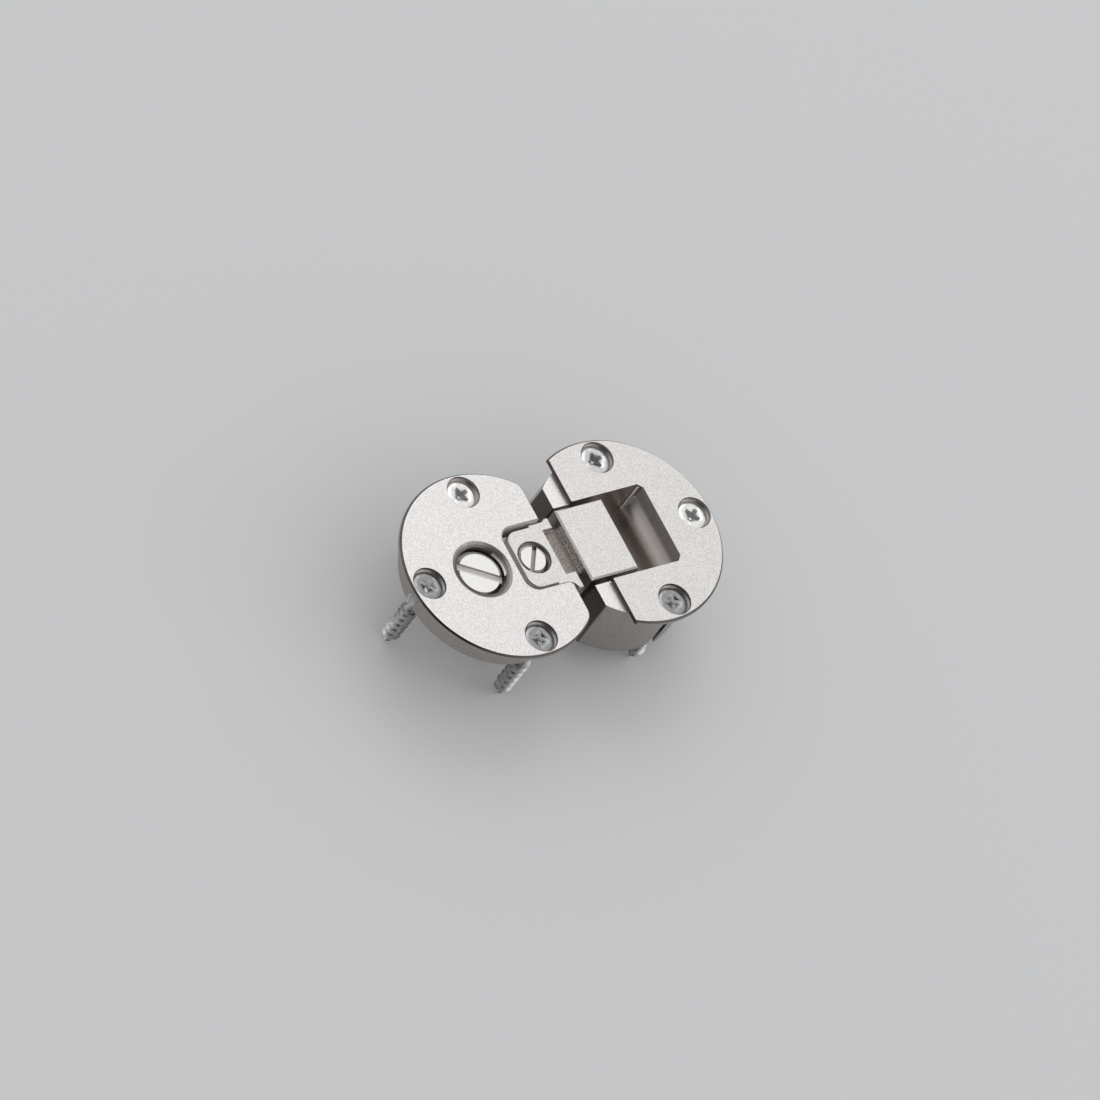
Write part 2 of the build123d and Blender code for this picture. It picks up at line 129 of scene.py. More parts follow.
class Graph:
    """A node tree with short calls for the nodes that the finishes need."""

    def __init__(self, tree: bpy.types.NodeTree) -> None:
        """Keeps the tree and clears it.

        Args:
            tree: The material's or the world's node tree.
        """
        self.tree = tree
        self.tree.nodes.clear()

    def add(self, kind: Kind, **settings: object) -> bpy.types.Node:
        """Adds a node.

        Args:
            kind: The node's kind.
            **settings: Properties to set on the node.

        Returns:
            The new node.
        """
        node = self.tree.nodes.new(kind.value)
        for name, value in settings.items():
            setattr(node, name, value)
        return node

    def feed(self, socket: Socket, value: object) -> None:
        """Links a socket into another, or sets a plain value on it.

        Args:
            socket: The input that is fed.
            value: An output socket, a number, or a tuple.
        """
        if isinstance(value, Socket):
            self.tree.links.new(value, socket)
        else:
            socket.default_value = value

    def maths(
        self, operation: str, first: object, second: object = 0.0, clamp: bool = False
    ) -> Socket:
        """Does one sum on numbers.

        Args:
            operation: The Math node's operation.
            first: Its first number or socket.
            second: Its second number or socket.
            clamp: Whether the result is kept from 0 to 1.

        Returns:
            The result's socket.
        """
        node = self.add(Kind.MATH, operation=operation, use_clamp=clamp)
        self.feed(node.inputs[0], first)
        self.feed(node.inputs[1], second)
        return node.outputs[0]

    def follow(self, value: object, ramp: Ramp) -> Socket:
        """Follows a ramp.

        Args:
            value: The value that is read.
            ramp: The ramp.

        Returns:
            The result's socket.
        """
        node = self.add(Kind.MAP_RANGE, interpolation_type="SMOOTHSTEP", clamp=True)
        node.inputs["From Min"].default_value = ramp.low
        node.inputs["From Max"].default_value = ramp.high
        node.inputs["To Min"].default_value = ramp.start
        node.inputs["To Max"].default_value = ramp.end
        self.feed(node.inputs["Value"], value)
        return node.outputs["Result"]

    def blend(self, share: object, first: object, second: object, mode: str = "MIX") -> Socket:
        """Mixes two colours.

        Args:
            share: How much of the second one there is.
            first: A colour tuple or a socket.
            second: A colour tuple or a socket.
            mode: The Mix node's blend type.

        Returns:
            The mixed colour's socket.
        """
        node = self.add(Kind.MIX, data_type="RGBA", blend_type=mode, clamp_factor=True)
        self.feed(node.inputs["Factor"], share)
        for socket, value in zip(node.inputs[6:8], (first, second)):
            self.feed(socket, value if isinstance(value, Socket) else (*value, 1.0))
        return node.outputs[2]

    def noise(self, place: Socket, spots: Spots) -> Socket:
        """Reads a noise.

        Args:
            place: The coordinates, in metres.
            spots: The noise's size, octaves and how strong the finer octaves are.

        Returns:
            The noise's value, about 0.2 to 0.8.
        """
        node = self.add(Kind.NOISE)
        node.inputs["Scale"].default_value = 1.0 / spots.size
        node.inputs["Detail"].default_value = spots.detail
        node.inputs["Roughness"].default_value = spots.roughness
        self.feed(node.inputs["Vector"], place)
        return node.outputs[0]

    def stretched(self, place: Socket, scale: Triple) -> Socket:
        """Scales coordinates along each axis.

        Args:
            place: The coordinates.
            scale: The three factors.

        Returns:
            The scaled coordinates.
        """
        node = self.add(Kind.MAPPING)
        node.inputs["Scale"].default_value = scale
        self.feed(node.inputs["Vector"], place)
        return node.outputs[0]

    def parts(self, vector: Socket) -> tuple[Socket, Socket, Socket]:
        """Splits a vector into its three numbers."""
        node = self.add(Kind.SEPARATE)
        self.feed(node.inputs[0], vector)
        return node.outputs[0], node.outputs[1], node.outputs[2]

    def inside(self, value: Socket, low: float, high: float, soft: float) -> Socket:
        """Is 1 between two limits, with a soft edge.

        Args:
            value: The value that is read.
            low: The lower limit.
            high: The upper limit.
            soft: The edge's width.

        Returns:
            The mask's socket.
        """
        rise = self.follow(value, Ramp(low - soft, low + soft))
        fall = self.follow(value, Ramp(high - soft, high + soft, 1.0, 0.0))
        return self.scaled(rise, fall)

    def grey(self, value: Socket) -> Socket:
        """Turns a number into a grey colour."""
        node = self.add(Kind.COMBINE_COLOUR)
        for socket in node.inputs[:3]:
            self.feed(socket, value)
        return node.outputs[0]

    def scaled(self, value: Socket, factor: object) -> Socket:
        """Multiplies a number by another."""
        return self.maths("MULTIPLY", value, factor)


def new_material(name: str) -> tuple[bpy.types.Material, Graph]:
    """Makes an empty material.

    Args:
        name: The material's name.

    Returns:
        The material and its graph.
    """
    material = bpy.data.materials.new(name)
    material.use_nodes = True
    return material, Graph(material.node_tree)


def surface(
    graph: Graph, colour: Socket, roughness: Socket, normal: Socket, metallic: object
) -> None:
    """Ends a material with its shader.

    Args:
        graph: The material's graph.
        colour: The base colour.
        roughness: The roughness.
        normal: The bumped normal.
        metallic: How metallic the surface is, a number or a socket.
    """
    shader = graph.add(Kind.PRINCIPLED)
    graph.feed(shader.inputs["Base Color"], colour)
    graph.feed(shader.inputs["Roughness"], roughness)
    graph.feed(shader.inputs["Metallic"], metallic)
    graph.feed(shader.inputs["Normal"], normal)
    output = graph.add(Kind.OUTPUT_MATERIAL)
    graph.feed(output.inputs["Surface"], shader.outputs[0])


def bumped(graph: Graph, height: Socket, depth: float, edge_radius: float) -> Socket:
    """Lifts the surface by a height, with softened edges.

    Args:
        graph: The material's graph.
        height: The height from 0 to 1.
        depth: What a height of 1 is in metres.
        edge_radius: The radius of the softened edges in metres.

    Returns:
        The normal's socket.
    """
    edge = graph.add(Kind.BEVEL, samples=EDGE_SAMPLES)
    edge.inputs["Radius"].default_value = edge_radius
    bump = graph.add(Kind.BUMP)
    bump.inputs["Strength"].default_value = 1.0
    bump.inputs["Distance"].default_value = depth
    graph.feed(bump.inputs["Height"], height)
    graph.feed(bump.inputs["Normal"], edge.outputs[0])
    return bump.outputs[0]


class Faces(Enum):
    """The faces that a zone covers, as ramps over the height of their normal."""

    ALL = ()
    WALLS = (Ramp(0.35, 0.55, 1.0, 0.0),)
    SLOPES = (Ramp(0.49, 0.55), Ramp(0.77, 0.83, 1.0, 0.0))
    SIDES = (Ramp(0.88, 0.96, 1.0, 0.0),)


@dataclass(frozen=True)
class Zone:
    """A box on a casting whose faces get a tone of their own; on most zones it is painted light and
    shade.
    """

    low: Triple
    high: Triple
    colour: Colour
    faces: Faces = Faces.ALL
    pits: float = 0.0
    roughness: float = 0.0
    matt: float = 0.0
    soft: float = 0.08 * MM

    def mask(self, graph: Graph, place: Socket, up: Socket) -> Socket:
        """Is 1 on the zone's faces.

        Args:
            graph: The material's graph.
            place: Object coordinates.
            up: The height of the face's normal, 1 where it looks straight up.

        Returns:
            The mask's socket.
        """
        result: object = 1.0
        for fade in self.faces.value:
            result = graph.scaled(graph.follow(up, fade), result)
        for low, high, value in zip(self.low, self.high, graph.parts(place)):
            result = graph.scaled(graph.inside(value, low, high, self.soft), result)
        return result


@dataclass(frozen=True)
class HighlightBand:
    """A band on a casting with a painted highlight, whose normal is turned up so that it catches
    the light from above.
    """

    start_x: float
    end_x: float
    middle_y: float
    half_width: float
    middle_z: float
    reach: float
    lift: float
    # The painted highlight's colour.
    colour: Colour
    soft: float = 0.15 * MM

    def mask(self, graph: Graph, place: Socket) -> Socket:
        """Is 1 in the middle of the band and fades out on both sides.

        Args:
            graph: The material's graph.
            place: Object coordinates.

        Returns:
            The mask's socket.
        """
        x, y, z = graph.parts(place)
        away = graph.maths("ABSOLUTE", graph.maths("SUBTRACT", z, self.middle_z))
        band = graph.follow(away, Ramp(0.0, self.reach, 1.0, 0.0))
        band = graph.scaled(band, graph.inside(x, self.start_x, self.end_x, self.soft))
        low, high = self.middle_y - self.half_width, self.middle_y + self.half_width
        return graph.scaled(band, graph.inside(y, low, high, self.soft))

    def lifted(self, graph: Graph, mask: Socket, normal: Socket) -> Socket:
        """Turns the normal upward where the band is.

        Args:
            graph: The material's graph.
            mask: The band's mask.
            normal: The surface's normal.

        Returns:
            The turned normal's socket.
        """
        rise = graph.add(Kind.COMBINE)
        graph.feed(rise.inputs[2], graph.scaled(mask, self.lift))
        turned = graph.add(
            Kind.TRANSFORM, vector_type="VECTOR", convert_from="OBJECT", convert_to="WORLD"
        )
        graph.feed(turned.inputs[0], rise.outputs[0])
        total = graph.add(Kind.VECTOR_MATH, operation="ADD")
        graph.feed(total.inputs[0], normal)
        graph.feed(total.inputs[1], turned.outputs[0])
        unit = graph.add(Kind.VECTOR_MATH, operation="NORMALIZE")
        graph.feed(unit.inputs[0], total.outputs[0])
        return unit.outputs[0]


@dataclass(frozen=True)
class PlatedCasting:
    """Satin nickel on die-cast zinc: blasted faces, with painted shade that makes walls and
    undersides darker by the way they face.
    """

    name: str
    face: Colour = (0.83, 0.81, 0.80)
    # Painted shade: the colours that walls and undersides get, darker than the faces.
    shaded_wall: Colour = (0.40, 0.37, 0.35)
    under: Colour = (0.56, 0.54, 0.52)
    face_roughness: float = 0.36
    wall_roughness: float = 0.30
    clouding: Ramp = Ramp(0.3, 0.7, -0.03, 0.04)
    top_fade: Ramp = Ramp(0.6, 0.92)
    under_fade: Ramp = Ramp(-0.9, -0.55, 1.0, 0.0)
    cloud: Spots = Spots(4.0 * MM, 2.0)
    grain: Spots = Spots(0.30 * MM, 2.5, 0.6)
    fine_grain: Spots = Spots(0.30 * MM / 2.6, 2.0, 0.5)
    grain_share: float = 0.7
    grain_depth: float = 0.011 * MM
    speckle: Ramp = Ramp(0.30, 0.66, 0.80, 1.05)
    pit_from: float = 0.36
    pit_to: float = 0.64
    pit_shine: float = 0.6
    edge_radius: float = 0.07 * MM
    zones: tuple[Zone, ...] = ()
    highlight_bands: tuple[HighlightBand, ...] = ()

    def build(self) -> bpy.types.Material:
        """Makes the material.

        Returns:
            The finished material.
        """
        material, graph = new_material(self.name)
        coordinates = graph.add(Kind.COORDINATES)
        place, facing = coordinates.outputs["Object"], coordinates.outputs["Normal"]
        up = graph.parts(facing)[2]
        upward = graph.follow(up, self.top_fade)
        grain = graph.noise(place, self.grain)
        fine = graph.noise(place, self.fine_grain)
        cloud = graph.noise(place, self.cloud)
        # Painted shade: faces that look sideways or down turn darker.
        colour = graph.blend(upward, self.shaded_wall, self.face)
        colour = graph.blend(graph.follow(up, self.under_fade), colour, self.under)
        smooth = graph.follow(upward, Ramp(0.0, 1.0, self.wall_roughness, self.face_roughness))
        roughness = graph.maths("ADD", smooth, graph.follow(cloud, self.clouding))
        metallic: object = 1.0
        # Zones paint light and shade onto parts of the casting; their pits and roughness are the
        # surface's own.
        for zone in self.zones:
            mask = zone.mask(graph, place, up)
            if zone.matt > 0:
                matt = graph.scaled(mask, zone.matt)
                metallic = graph.maths("SUBTRACT", metallic, matt, clamp=True)
            pitting = Ramp(
                self.pit_from, self.pit_to, 1.0 - zone.pits, 1.0 + self.pit_shine * zone.pits
            )
            pits = graph.grey(graph.follow(grain, pitting))
            colour = graph.blend(mask, colour, graph.blend(1.0, zone.colour, pits, "MULTIPLY"))
            roughness = graph.maths("ADD", roughness, graph.scaled(mask, zone.roughness))
        speckle = graph.grey(graph.follow(grain, self.speckle))
        colour = graph.blend(1.0, colour, speckle, "MULTIPLY")
        coarse = graph.scaled(grain, self.grain_share)
        height = graph.maths("ADD", coarse, graph.scaled(fine, 1.0 - self.grain_share))
        normal = bumped(graph, height, self.grain_depth, self.edge_radius)
        # Each band paints its highlight colour in and turns the normal up.
        for shoulder in self.highlight_bands:
            band = shoulder.mask(graph, place)
            colour = graph.blend(band, colour, shoulder.colour)
            normal = shoulder.lifted(graph, band, normal)
        surface(graph, colour, roughness, normal, metallic)
        return material


@dataclass(frozen=True)
class PolishedSteel:
    """Bright turned steel with fine rings round an axis; painted shade darkens its walls and the
    near side of its rim, painted light brightens the rim's far side and fills the deep part of its
    slot with a matt tone.
    """

    name: str
    centre: tuple[float, float]
    slot_level: float
    face: Colour = (0.93, 0.92, 0.905)
    # Painted shade: the colour of walls.
    shaded_wall: Colour = (0.42, 0.40, 0.38)
    # Painted shade on the near side of the rim, and painted light on its far side.
    rim: Colour = (0.20, 0.19, 0.18)
    lit_far_rim: Colour = (0.78, 0.76, 0.74)
    far_rim_matt: float = 0.8
    # Painted light: a matt tone deep in the slot.
    slot: Colour = (0.95, 0.93, 0.91)
    slot_matt: float = 0.9
    slot_fade: float = 0.12 * MM
    scuff: Colour = (0.62, 0.60, 0.58)
    scuffs: Spots = Spots(0.6 * MM, 4.0, 0.6)
    scuff_squeeze: Triple = (1.0, 2.2, 1.0)
    scuff_share: Ramp = Ramp(0.45, 0.75, 0.0, 0.2)
    scuff_roughness: Ramp = Ramp(0.3, 0.7, -0.02, 0.07)
    face_fade: Ramp = Ramp(0.5, 0.7)
    rim_from: float = 0.74
    rim_to: float = 0.945
    rim_soft: float = 0.015
    far_direction: tuple[float, float] = (0.5, 0.86)
    far_fade: Ramp = Ramp(0.02, 0.25)
    face_roughness: float = 0.13
    wall_roughness: float = 0.2
    ring: float = 0.11 * MM
    ring_share: float = 0.5
    ring_depth: float = 0.0009 * MM
    edge_radius: float = 0.07 * MM

    def build(self) -> bpy.types.Material:
        """Makes the material.

        Returns:
            The finished material.
        """
        material, graph = new_material(self.name)
        coordinates = graph.add(Kind.COORDINATES)
        place, facing = coordinates.outputs["Object"], coordinates.outputs["Normal"]
        normal_x, normal_y, normal_z = graph.parts(facing)
        up = graph.maths("ABSOLUTE", normal_z)
        upward = graph.follow(up, self.face_fade)
        scuffs = graph.noise(graph.stretched(place, self.scuff_squeeze), self.scuffs)
        # Painted shade on walls.
        colour = graph.blend(upward, self.shaded_wall, self.face)
        # The rim band: painted shade on its near side, a matt painted light on its far side.
        rim = graph.inside(up, self.rim_from, self.rim_to, self.rim_soft)
        away = graph.maths("ADD", graph.scaled(normal_x, self.far_direction[0]),
                           graph.scaled(normal_y, self.far_direction[1]))
        far = graph.follow(away, self.far_fade)
        colour = graph.blend(rim, colour, graph.blend(far, self.rim, self.lit_far_rim))
        matt = graph.scaled(graph.scaled(rim, far), self.far_rim_matt)
        colour = graph.blend(graph.follow(scuffs, self.scuff_share), colour, self.scuff)
        # Painted light deep in the slot: a matt tone of its own.
        below = Ramp(self.slot_level - self.slot_fade, self.slot_level, 1.0, 0.0)
        deep = graph.follow(graph.parts(place)[2], below)
        colour = graph.blend(deep, colour, self.slot)
        matt = graph.maths("ADD", matt, graph.scaled(deep, self.slot_matt))
        metallic = graph.maths("SUBTRACT", 1.0, matt, clamp=True)
        smooth = graph.follow(upward, Ramp(0.0, 1.0, self.wall_roughness, self.face_roughness))
        roughness = graph.maths("ADD", smooth, graph.follow(scuffs, self.scuff_roughness))
        height = graph.maths("ADD", self.rings(graph, place), scuffs)
        normal = bumped(graph, height, self.ring_depth, self.edge_radius)
        surface(graph, colour, roughness, normal, metallic)
        return material

    def rings(self, graph: Graph, place: Socket) -> Socket:
        """Makes the fine rings that turning leaves.

        Args:
            graph: The material's graph.
            place: Object coordinates.

        Returns:
            The rings' height.
        """
        flat = graph.add(Kind.MAPPING)
        flat.inputs["Location"].default_value = (-self.centre[0], -self.centre[1], 0.0)
        flat.inputs["Scale"].default_value = (1.0, 1.0, 0.0)
        graph.feed(flat.inputs["Vector"], place)
        reach = graph.add(Kind.VECTOR_MATH, operation="LENGTH")
        graph.feed(reach.inputs[0], flat.outputs[0])
        turns = graph.scaled(reach.outputs["Value"], math.tau / self.ring)
        return graph.scaled(graph.maths("SINE", turns), self.ring_share)


@dataclass(frozen=True)
class ZincPlate:
    """Zinc-plated steel, with streaks along one axis and small dull patches."""

    name: str
    tone: Colour = (0.66, 0.665, 0.67)
    mark: Colour = (0.42, 0.42, 0.43)
    shank: Colour | None = None
    shank_level: float = -0.9 * MM
    shank_fade: float = 0.2 * MM
    # Painted light and shade in the cross recess: a matt tone of its own below the head's top.
    cross: Colour = (0.95, 0.94, 0.93)
    cross_level: float = 0.06 * MM
    cross_fade: float = 0.05 * MM
    cross_matt: float = 0.75
    roughness: float = 0.30
    patches: Spots = Spots(1.6 * MM, 2.0)
    patch_from: float = 0.35
    patch_to: float = 0.65
    patch_polish: float = 0.05
    patch_dulling: float = 0.08
    streaks: Triple = (1.0, 1.0, 1.0)
    streak_depth: float = 0.004 * MM
    edge_radius: float = 0.06 * MM
    pits: Spots = Spots(0.35 * MM, 4.0, 0.6)
    pit_share: Ramp = Ramp(0.48, 0.8, 0.0, 0.6)

    def build(self) -> bpy.types.Material:
        """Makes the material.

        Returns:
            The finished material.
        """
        material, graph = new_material(self.name)
        coordinates = graph.add(Kind.COORDINATES)
        place = coordinates.outputs["Object"]
        marks = graph.noise(graph.stretched(place, self.streaks), self.pits)
        patches = graph.noise(place, self.patches)
        colour: object = self.tone
        metallic: object = 1.0
        if self.shank is not None:
            level = graph.parts(place)[2]
            # Painted light and shade: the cross recess takes its own matt tone.
            above = graph.follow(level, Ramp(self.cross_level - self.cross_fade, self.cross_level))
            colour = graph.blend(above, self.cross, self.tone)
            shiny = graph.follow(above, Ramp(0.0, 1.0, 1.0 - self.cross_matt, 1.0))
            shank_start = self.shank_level - self.shank_fade
            neck = graph.follow(level, Ramp(shank_start, self.shank_level, 1.0, 0.0))
            metallic = graph.maths("MAXIMUM", shiny, neck)
            over = graph.follow(level, Ramp(shank_start, self.shank_level))
            colour = graph.blend(over, self.shank, colour)
        marked = graph.blend(1.0, colour, self.mark, "MULTIPLY")
        colour = graph.blend(graph.follow(marks, self.pit_share), colour, marked)
        dulling = Ramp(self.patch_from, self.patch_to, self.roughness - self.patch_polish,
                       self.roughness + self.patch_dulling)
        normal = bumped(graph, marks, self.streak_depth, self.edge_radius)
        surface(graph, colour, graph.follow(patches, dulling), normal, metallic)
        return material


def wear(piece: bpy.types.Object, material: bpy.types.Material) -> None:
    """Gives a piece one material in all its slots.

    Args:
        piece: The piece, a CAD node's or a new one.
        material: The finish.
    """
    piece.data.materials.clear()
    piece.data.materials.append(material)
    LOG.info("%s wears %s", piece.name, material.name)


def add_piece(name: str, shape: bmesh.types.BMesh) -> bpy.types.Object:
    """Turns a bmesh into an object of the scene.

    Args:
        name: The piece's name.
        shape: The finished bmesh, which is freed.

    Returns:
        The new object, at the origin.
    """
    mesh = bpy.data.meshes.new(name)
    shape.to_mesh(mesh)
    shape.free()
    mesh.shade_smooth()
    mesh.set_sharp_from_angle(angle=SHARP_ANGLE)
    piece = bpy.data.objects.new(name, mesh)
    bpy.context.scene.collection.objects.link(piece)
    return piece


class SubAssembly(ABC):
    """Some pieces of the hinge that belong together."""

    def build(self) -> None:
        """Builds the meshes that the CAD nodes don't have; most sub-assemblies have none."""

    @abstractmethod
    def dress(self) -> None:
        """Gives the pieces their finishes."""


@dataclass
class WoodScrew(SubAssembly):
    """A countersunk wood screw: the head of its CAD node on a core with a rolled thread."""

    node: str
    body: str
    finish: ZincPlate
    thread_top: float
    core_radius: float = 1.15 * MM
    crest_radius: float = 1.75 * MM
    pitch: float = 1.7 * MM
    shoulder: float = 0.5 * MM
    taper: float = 0.2 * MM
    tip_length: float = 3.0 * MM
    tip_radius: float = 0.12 * MM
    tip_height: float = 0.1 * MM
    thread_start: float = 0.5 * MM
    thread_share: float = 0.30
    root_share: float = 0.9
    crest_share: float = 0.12
    tip_share: float = 0.06
    runout_share: float = 0.55
    runout_fall: float = 0.45
    steps: int = 28
    weld: float = 0.001 * MM
    piece: bpy.types.Object | None = None

    def build(self) -> None:
        """Builds the screw in place of its CAD node."""
        low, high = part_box(self.node)
        centre = (low + high) / 2
        shape = self.head(self.thread_top + self.shoulder)
        ring = [edge for edge in shape.edges if edge.is_boundary]
        for radius, height in (
            (self.core_radius, self.thread_top + self.taper),
            (self.core_radius, low.z + self.tip_length),
            (self.tip_radius, low.z + self.tip_height),
        ):
            ring = self.carry(shape, ring, centre, radius, height)
        bmesh.ops.holes_fill(shape, edges=ring)
        self.narrow(self.thread(shape, centre, low.z), centre, low.z)
        bmesh.ops.recalc_face_normals(shape, faces=shape.faces)
        self.piece = piece = add_piece(f"{self.node}_threaded", shape)
        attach(piece, self.body)
        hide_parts(self.node)
        LOG.info("%s: %d faces", piece.name, len(piece.data.polygons))

    def dress(self) -> None:
        """Gives the built screw its plating."""
        wear(self.piece, self.finish.build())

    def head(self, cut: float) -> bmesh.types.BMesh:
        """Copies the head and the neck, with the cross recess, from the CAD node.

        Args:
            cut: The height that the neck ends at.

        Returns:
            The head and the neck as an open bmesh.
        """
        shape = bmesh.new()
        shape.from_mesh(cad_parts[self.node].data)
        bmesh.ops.remove_doubles(shape, verts=shape.verts, dist=self.weld)
        everything = [*shape.verts, *shape.edges, *shape.faces]
        bmesh.ops.bisect_plane(
            shape, geom=everything, plane_co=(0, 0, cut), plane_no=(0, 0, 1), clear_inner=True
        )
        return shape

    @staticmethod
    def carry(
        shape: bmesh.types.BMesh,
        ring: list[bmesh.types.BMEdge],
        centre: Vector,
        radius: float,
        height: float,
    ) -> list[bmesh.types.BMEdge]:
        """Extrudes a ring of edges to another radius and height.

        Args:
            shape: The screw.
            ring: The open ring of edges.
            centre: A point on the screw's axis.
            radius: The new ring's radius.
            height: The new ring's height.

        Returns:
            The new ring.
        """
        grown = bmesh.ops.extrude_edge_only(shape, edges=ring)["geom"]
        for vertex in (item for item in grown if isinstance(item, bmesh.types.BMVert)):
            across = Vector((vertex.co.x - centre.x, vertex.co.y - centre.y, 0.0)).normalized()
            vertex.co = Vector((centre.x, centre.y, height)) + across * radius
        return [item for item in grown if isinstance(item, bmesh.types.BMEdge) and item.is_boundary]

    def thread(
        self, shape: bmesh.types.BMesh, centre: Vector, low: float
    ) -> set[bmesh.types.BMVert]:
        """Winds the thread's ridge round the core.

        Args:
            shape: The screw.
            centre: A point on the screw's axis.
            low: The tip's height.

        Returns:
            All corners of the ridge.
        """
        half = self.pitch * self.thread_share / 2
        start = low + self.thread_start
        turns = int((self.thread_top - start - half) / self.pitch)
        root, crest = self.core_radius * self.root_share, half * self.crest_share
        top = self.crest_radius
        outline = ((root, -half), (top, -crest), (top, crest), (root, half))
        vertices = [shape.verts.new((centre.x + r, centre.y, start + z)) for r, z in outline]
        face = shape.faces.new(vertices)
        swept = bmesh.ops.spin(
            shape, geom=[face, *face.edges, *vertices], cent=centre, axis=(0, 0, 1),
            dvec=(0, 0, self.pitch / self.steps), angle=math.tau * turns, steps=self.steps * turns,
            use_duplicate=False, use_merge=False,
        )
        ends = [item for item in (face, *swept["geom_last"])
                if item.is_valid and isinstance(item, bmesh.types.BMFace)]
        ridge = {vertex for end in ends for vertex in end.verts}
        waiting = list(ridge)
        while waiting:
            vertex = waiting.pop()
            fresh = {edge.other_vert(vertex) for edge in vertex.link_edges} - ridge
            ridge |= fresh
            waiting.extend(fresh)
        return ridge

    def narrow(self, ridge: set[bmesh.types.BMVert], centre: Vector, low: float) -> None:
        """Narrows the ridge to the tip, and where it runs out under the head.

        Args:
            ridge: The corners of the ridge.
            centre: A point on the screw's axis.
            low: The tip's height.
        """
        for vertex in ridge:
            share = min(1.0, max(self.tip_share, (vertex.co.z - low) / self.tip_length))
            past = (vertex.co.z - self.thread_top + self.pitch) / self.pitch
            share = min(share, max(self.runout_share, 1.0 - self.runout_fall * past))
            vertex.co.x = centre.x + (vertex.co.x - centre.x) * share
            vertex.co.y = centre.y + (vertex.co.y - centre.y) * share


class Plating(Enum):
    """How bright a wood screw is: the tones of its head, the painted light and shade of its cross
    recess, and its shank.
    """

    BRIGHT = ((0.86, 0.86, 0.85), (0.52, 0.51, 0.50), (0.70, 0.70, 0.70))
    FAIR = ((0.66, 0.665, 0.67), (0.38, 0.375, 0.37), (0.70, 0.70, 0.70))
    DULL = ((0.33, 0.335, 0.34), (0.85, 0.85, 0.86), (0.70, 0.70, 0.70))

    def finish(self, name: str) -> ZincPlate:
        """Makes a screw's finish.

        Args:
            name: The material's name.

        Returns:
            The finish with this plating's tones.
        """
        head, cross, shank = self.value
        return ZincPlate(name, tone=head, cross=cross, shank=shank, roughness=0.26)


# Painted shade: a near-black tone on the chamfers round the castings' rims.
RIM_SHADE = Zone(
    low=mm(-25.0, -25.0, 0.5), high=mm(55.0, 25.0, 1.1), colour=(0.17, 0.155, 0.145),
    faces=Faces.SLOPES,
)


@dataclass
class Half(SubAssembly):
    """One half of the hinge: a casting that three wood screws hold down."""

    side: str
    thread_top: float
    platings: tuple[Plating, ...]
    screws: list[WoodScrew] = field(default_factory=list)

    def build(self) -> None:
        """Builds the three screws."""
        for number, plating in enumerate(self.platings, start=1):
            node = f"{self.side}_screw_{number}"
            finish = plating.finish(f"zinc_{node}")
            screw = WoodScrew(node, f"{self.side}_side", finish, self.thread_top)
            screw.build()
            self.screws.append(screw)

    def dress(self) -> None:
        """Gives the screws their plating."""
        for screw in self.screws:
            screw.dress()


@dataclass
class CabinetHalf(Half):
    """The cabinet's casting, the plate under it, and its three wood screws."""

    side: str = "cabinet"
    thread_top: float = -6.0 * MM
    platings: tuple[Plating, ...] = (Plating.BRIGHT, Plating.DULL, Plating.DULL)
    # Painted light: the walls in the recess round the arm get a light, partly matt tone.
    recess: Zone = Zone(
        low=mm(3.2, -7.2, -4.4), high=mm(13.6, 7.2, 1.1), colour=(0.86, 0.79, 0.75),
        faces=Faces.SIDES, matt=0.55,
    )
    # Painted shade: a darker chamfer ring round the adjuster, a darker foot inside it, and
    # near-black walls down the adjuster's hole.
    bevel: Zone = Zone(
        low=mm(-9.9, -6.25, 0.35), high=mm(2.6, 6.25, 0.96), colour=(0.38, 0.36, 0.345),
        faces=Faces.SIDES, roughness=-0.08,
    )
    bevel_foot_shade: Zone = Zone(
        low=mm(-9.9, -6.25, 0.30), high=mm(2.6, 6.25, 0.66), colour=(0.20, 0.19, 0.18),
        faces=Faces.SIDES,
    )
    bore_shade: Zone = Zone(
        low=mm(-9.9, -6.25, -1.9), high=mm(2.6, 6.25, 0.36), colour=(0.11, 0.10, 0.095),
        faces=Faces.WALLS,
    )
    # Painted highlight: a bright crescent on the right of the adjuster's hole, with its normal
    # turned up.
    bore_highlight: HighlightBand = HighlightBand(
        start_x=0.3 * MM, end_x=1.6 * MM, middle_y=0.5 * MM, half_width=2.4 * MM,
        middle_z=-0.05 * MM, reach=0.62 * MM, lift=2.8, colour=(0.97, 0.95, 0.93),
    )
    # Painted shade: a darker tone on the chamfer along the recess mouth.
    lip_shade: Zone = Zone(
        low=mm(3.2, -7.2, 0.6), high=mm(13.6, 7.2, 1.1), colour=(0.42, 0.395, 0.38),
        faces=Faces.SLOPES,
    )
    plate: ZincPlate = ZincPlate(
        "zinc_pressed_plate", tone=(0.64, 0.65, 0.67), streaks=(0.12, 1.0, 1.0), roughness=0.34
    )

    def dress(self) -> None:
        """Finishes the screws, the casting and the plate."""
        super().dress()
        zones = (RIM_SHADE, self.recess, self.lip_shade, self.bevel, self.bevel_foot_shade, self.bore_shade)
        casting = PlatedCasting("nickel_cabinet_casting", zones=zones, highlight_bands=(self.bore_highlight,))
        wear(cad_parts["cabinet_plate"], casting.build())
        wear(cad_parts["base_plate"], self.plate.build())


@dataclass
class Adjuster(SubAssembly):
    """The slotted adjuster and its ring."""

    centre: tuple[float, float] = (-3.65 * MM, 0.0)
    slot_level: float = -0.95 * MM

    def dress(self) -> None:
        """Finishes the head and the ring."""
        head = PolishedSteel("polished_adjuster", self.centre, self.slot_level)
        wear(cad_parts["eccentric_adjuster"], head.build())
        wear(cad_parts["adjuster_ring"], ZincPlate("zinc_ring").build())


